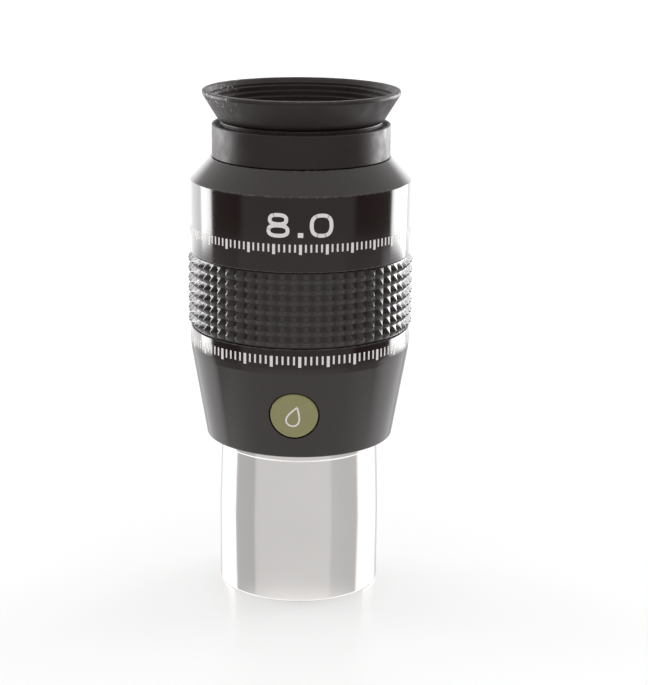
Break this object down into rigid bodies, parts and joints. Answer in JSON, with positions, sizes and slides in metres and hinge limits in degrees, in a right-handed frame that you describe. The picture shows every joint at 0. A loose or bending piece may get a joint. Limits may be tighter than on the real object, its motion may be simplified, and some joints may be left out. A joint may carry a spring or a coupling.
{
  "type": "telescope eyepiece",
  "caption": "Wide-angle telescope eyepiece with a chromed push-fit barrel, a black housing with a studded rubber grip band, and a fold-down rubber eyecup.",
  "frame": {"origin": "centre of the barrel's open end, which is the face it stands on", "axes": "+Z along the optical axis towards the observer's eye; -Y is the front, the side with the badge; +X is to the right seen from the front"},
  "size_m": [0.0438, 0.0438, 0.0989],
  "materials": {
    "chrome_plate": "polished chrome plate",
    "black_anodised": "semi-gloss black anodising",
    "matt_black": "matt black anodising",
    "eyecup_rubber": "satin moulded black rubber",
    "grip_rubber": "semi-gloss moulded black rubber",
    "seal_rubber": "smooth black sealing rubber",
    "badge_enamel": "olive green enamel",
    "screw_steel": "turned steel",
    "lens_glass": "polished, multi-coated"
  },
  "bodies": {
    "eyepiece": {"nosepiece": "chrome_plate", "field_lens_retainer": "matt_black", "field_lens_flint": "lens_glass", "field_lens_crown": "lens_glass", "field_lens_seal": "seal_rubber", "field_stop": "matt_black", "nosepiece_seal": "seal_rubber", "lower_housing": "black_anodised", "badge_disc": "badge_enamel", "purge_screw": "screw_steel", "purge_screw_seal": "seal_rubber", "light_baffle": "matt_black", "grip_ring": "grip_rubber", "lens_cell": "matt_black", "lower_doublet_flint": "lens_glass", "lower_doublet_crown": "lens_glass", "doublet_spacer": "matt_black", "upper_doublet_crown": "lens_glass", "upper_doublet_flint": "lens_glass", "cell_retainer": "matt_black", "upper_housing": "black_anodised", "housing_seal": "seal_rubber", "eye_lens_mount": "matt_black", "eye_lens_retainer": "matt_black", "eye_lens": "lens_glass", "eye_lens_seal": "seal_rubber", "eyecup_collar": "eyecup_rubber", "eyecup_wing": "eyecup_rubber"},
    "eyecup_lip": {"eyecup_rim": "eyecup_rubber"}
  },
  "joints": [
    {"name": "eyecup_fold", "type": "slide", "parent": "eyepiece", "child": "eyecup_lip", "axis": [0, 0, -1], "range_m": [0, 0.0104], "deforming": ["eyecup_wing"]}
  ]
}
